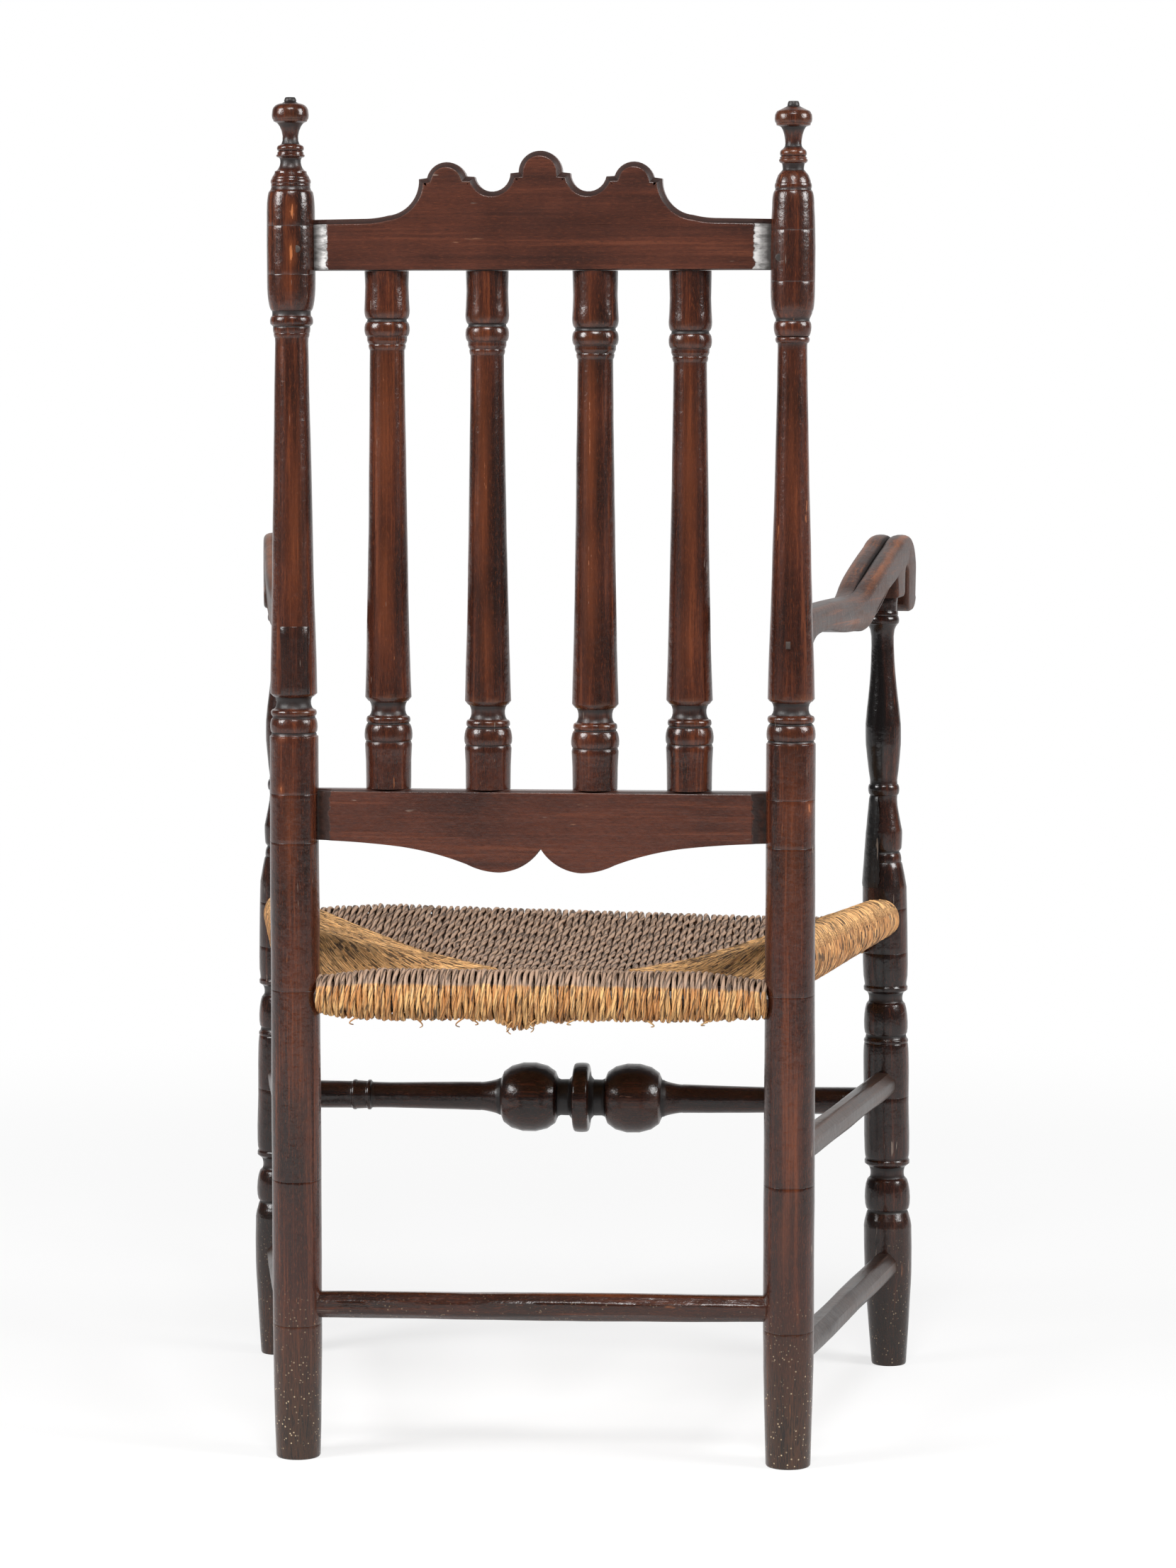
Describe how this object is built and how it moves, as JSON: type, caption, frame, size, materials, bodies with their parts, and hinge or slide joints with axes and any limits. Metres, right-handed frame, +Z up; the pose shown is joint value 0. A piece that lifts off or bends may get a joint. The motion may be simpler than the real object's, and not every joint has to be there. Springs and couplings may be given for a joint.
{
  "type": "bannister back armchair",
  "caption": "Turned and joined armchair with tall finialled back posts, shaped crest and lower rails, split banisters, scrolled arms, turned stretchers and a rush seat.",
  "frame": {"origin": "bottom centre of the chair's bounding box, on the floor", "axes": "+Z up, the sitter faces -Y, the sitter's left is +X"},
  "size_m": [0.6552, 0.5314, 1.2215],
  "materials": {
    "stained_wood": "dark red-brown stain, worn polish",
    "dark_wood": "near-black stain, worn polish",
    "peg_wood": "dull, dark",
    "rush": "woven rush, aged golden brown"
  },
  "bodies": {
    "root": {"rear_post_left": "stained_wood", "rear_post_right": "stained_wood", "front_post_left": "dark_wood", "front_post_right": "dark_wood", "crest_rail": "stained_wood", "lower_back_rail": "stained_wood", "banister_1": "stained_wood", "banister_2": "stained_wood", "banister_3": "stained_wood", "banister_4": "stained_wood", "arm_left": "stained_wood", "arm_right": "stained_wood", "front_stretcher": "dark_wood", "rear_stretcher": "dark_wood", "side_stretcher_upper_left": "dark_wood", "side_stretcher_upper_right": "dark_wood", "side_stretcher_lower_left": "dark_wood", "side_stretcher_lower_right": "dark_wood", "seat_rail_front": "dark_wood", "seat_rail_rear": "dark_wood", "seat_rail_left": "dark_wood", "seat_rail_right": "dark_wood", "rush_seat": "rush", "crest_peg_left": "peg_wood", "crest_peg_right": "peg_wood", "arm_pin_right": "peg_wood", "repair_patch_left": "dark_wood", "repair_strip_right": "dark_wood"}
  },
  "joints": []
}
